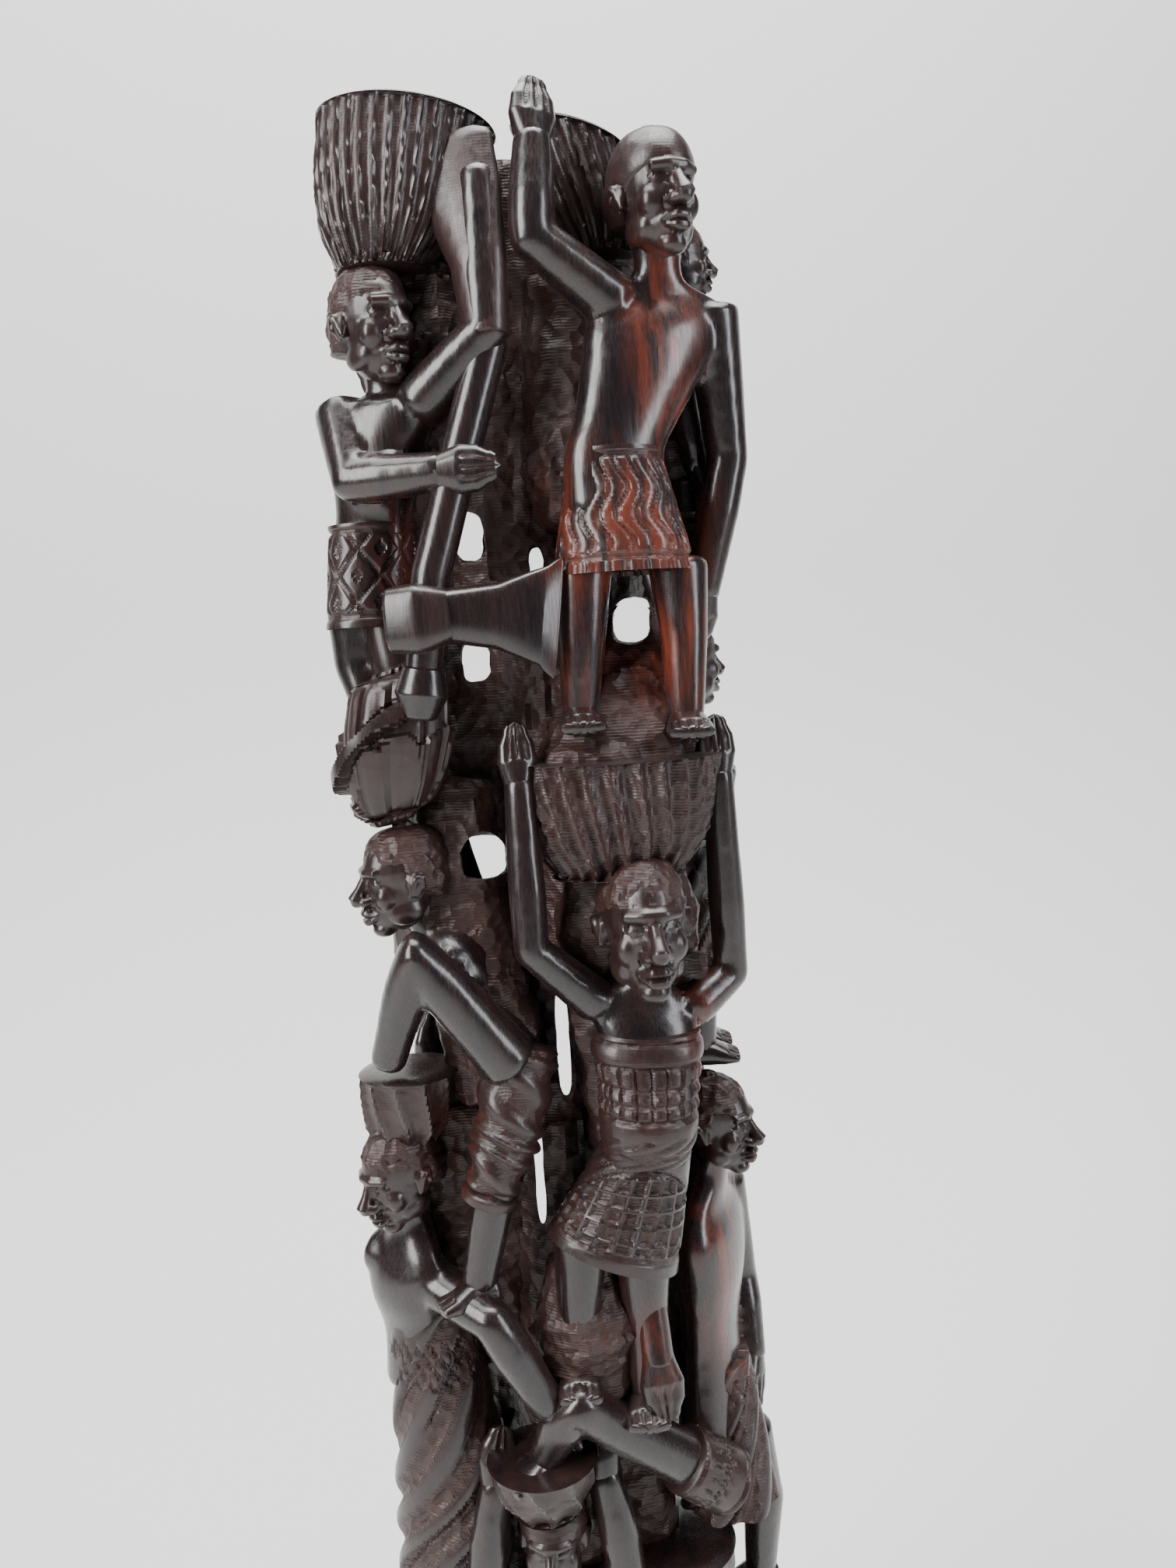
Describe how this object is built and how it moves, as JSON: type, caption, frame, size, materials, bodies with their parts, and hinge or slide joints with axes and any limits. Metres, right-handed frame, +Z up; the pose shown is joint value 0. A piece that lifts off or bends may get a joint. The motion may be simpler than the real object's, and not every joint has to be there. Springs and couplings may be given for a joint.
{
  "type": "makonde ujamaa carving",
  "caption": "Dark polished blackwood tree of people: one upright log carved right through into tiers of figures with fluted baskets, bundles and an axe, on a low round base.",
  "frame": {"origin": "middle of the flat underside of the round base, on the surface that the carving stands on", "axes": "+Z up along the log, the side with the clasped axe facing -Y, +X to the right of someone looking at that side"},
  "size_m": [0.134, 0.1346, 0.6843],
  "materials": {
    "blackwood": "hand-carved African blackwood, waxed and rubbed to a soft gloss on the bodies, matte and red-brown in the cut recesses"
  },
  "bodies": {
    "root": {"ujamaa_carving": "blackwood"}
  },
  "joints": []
}
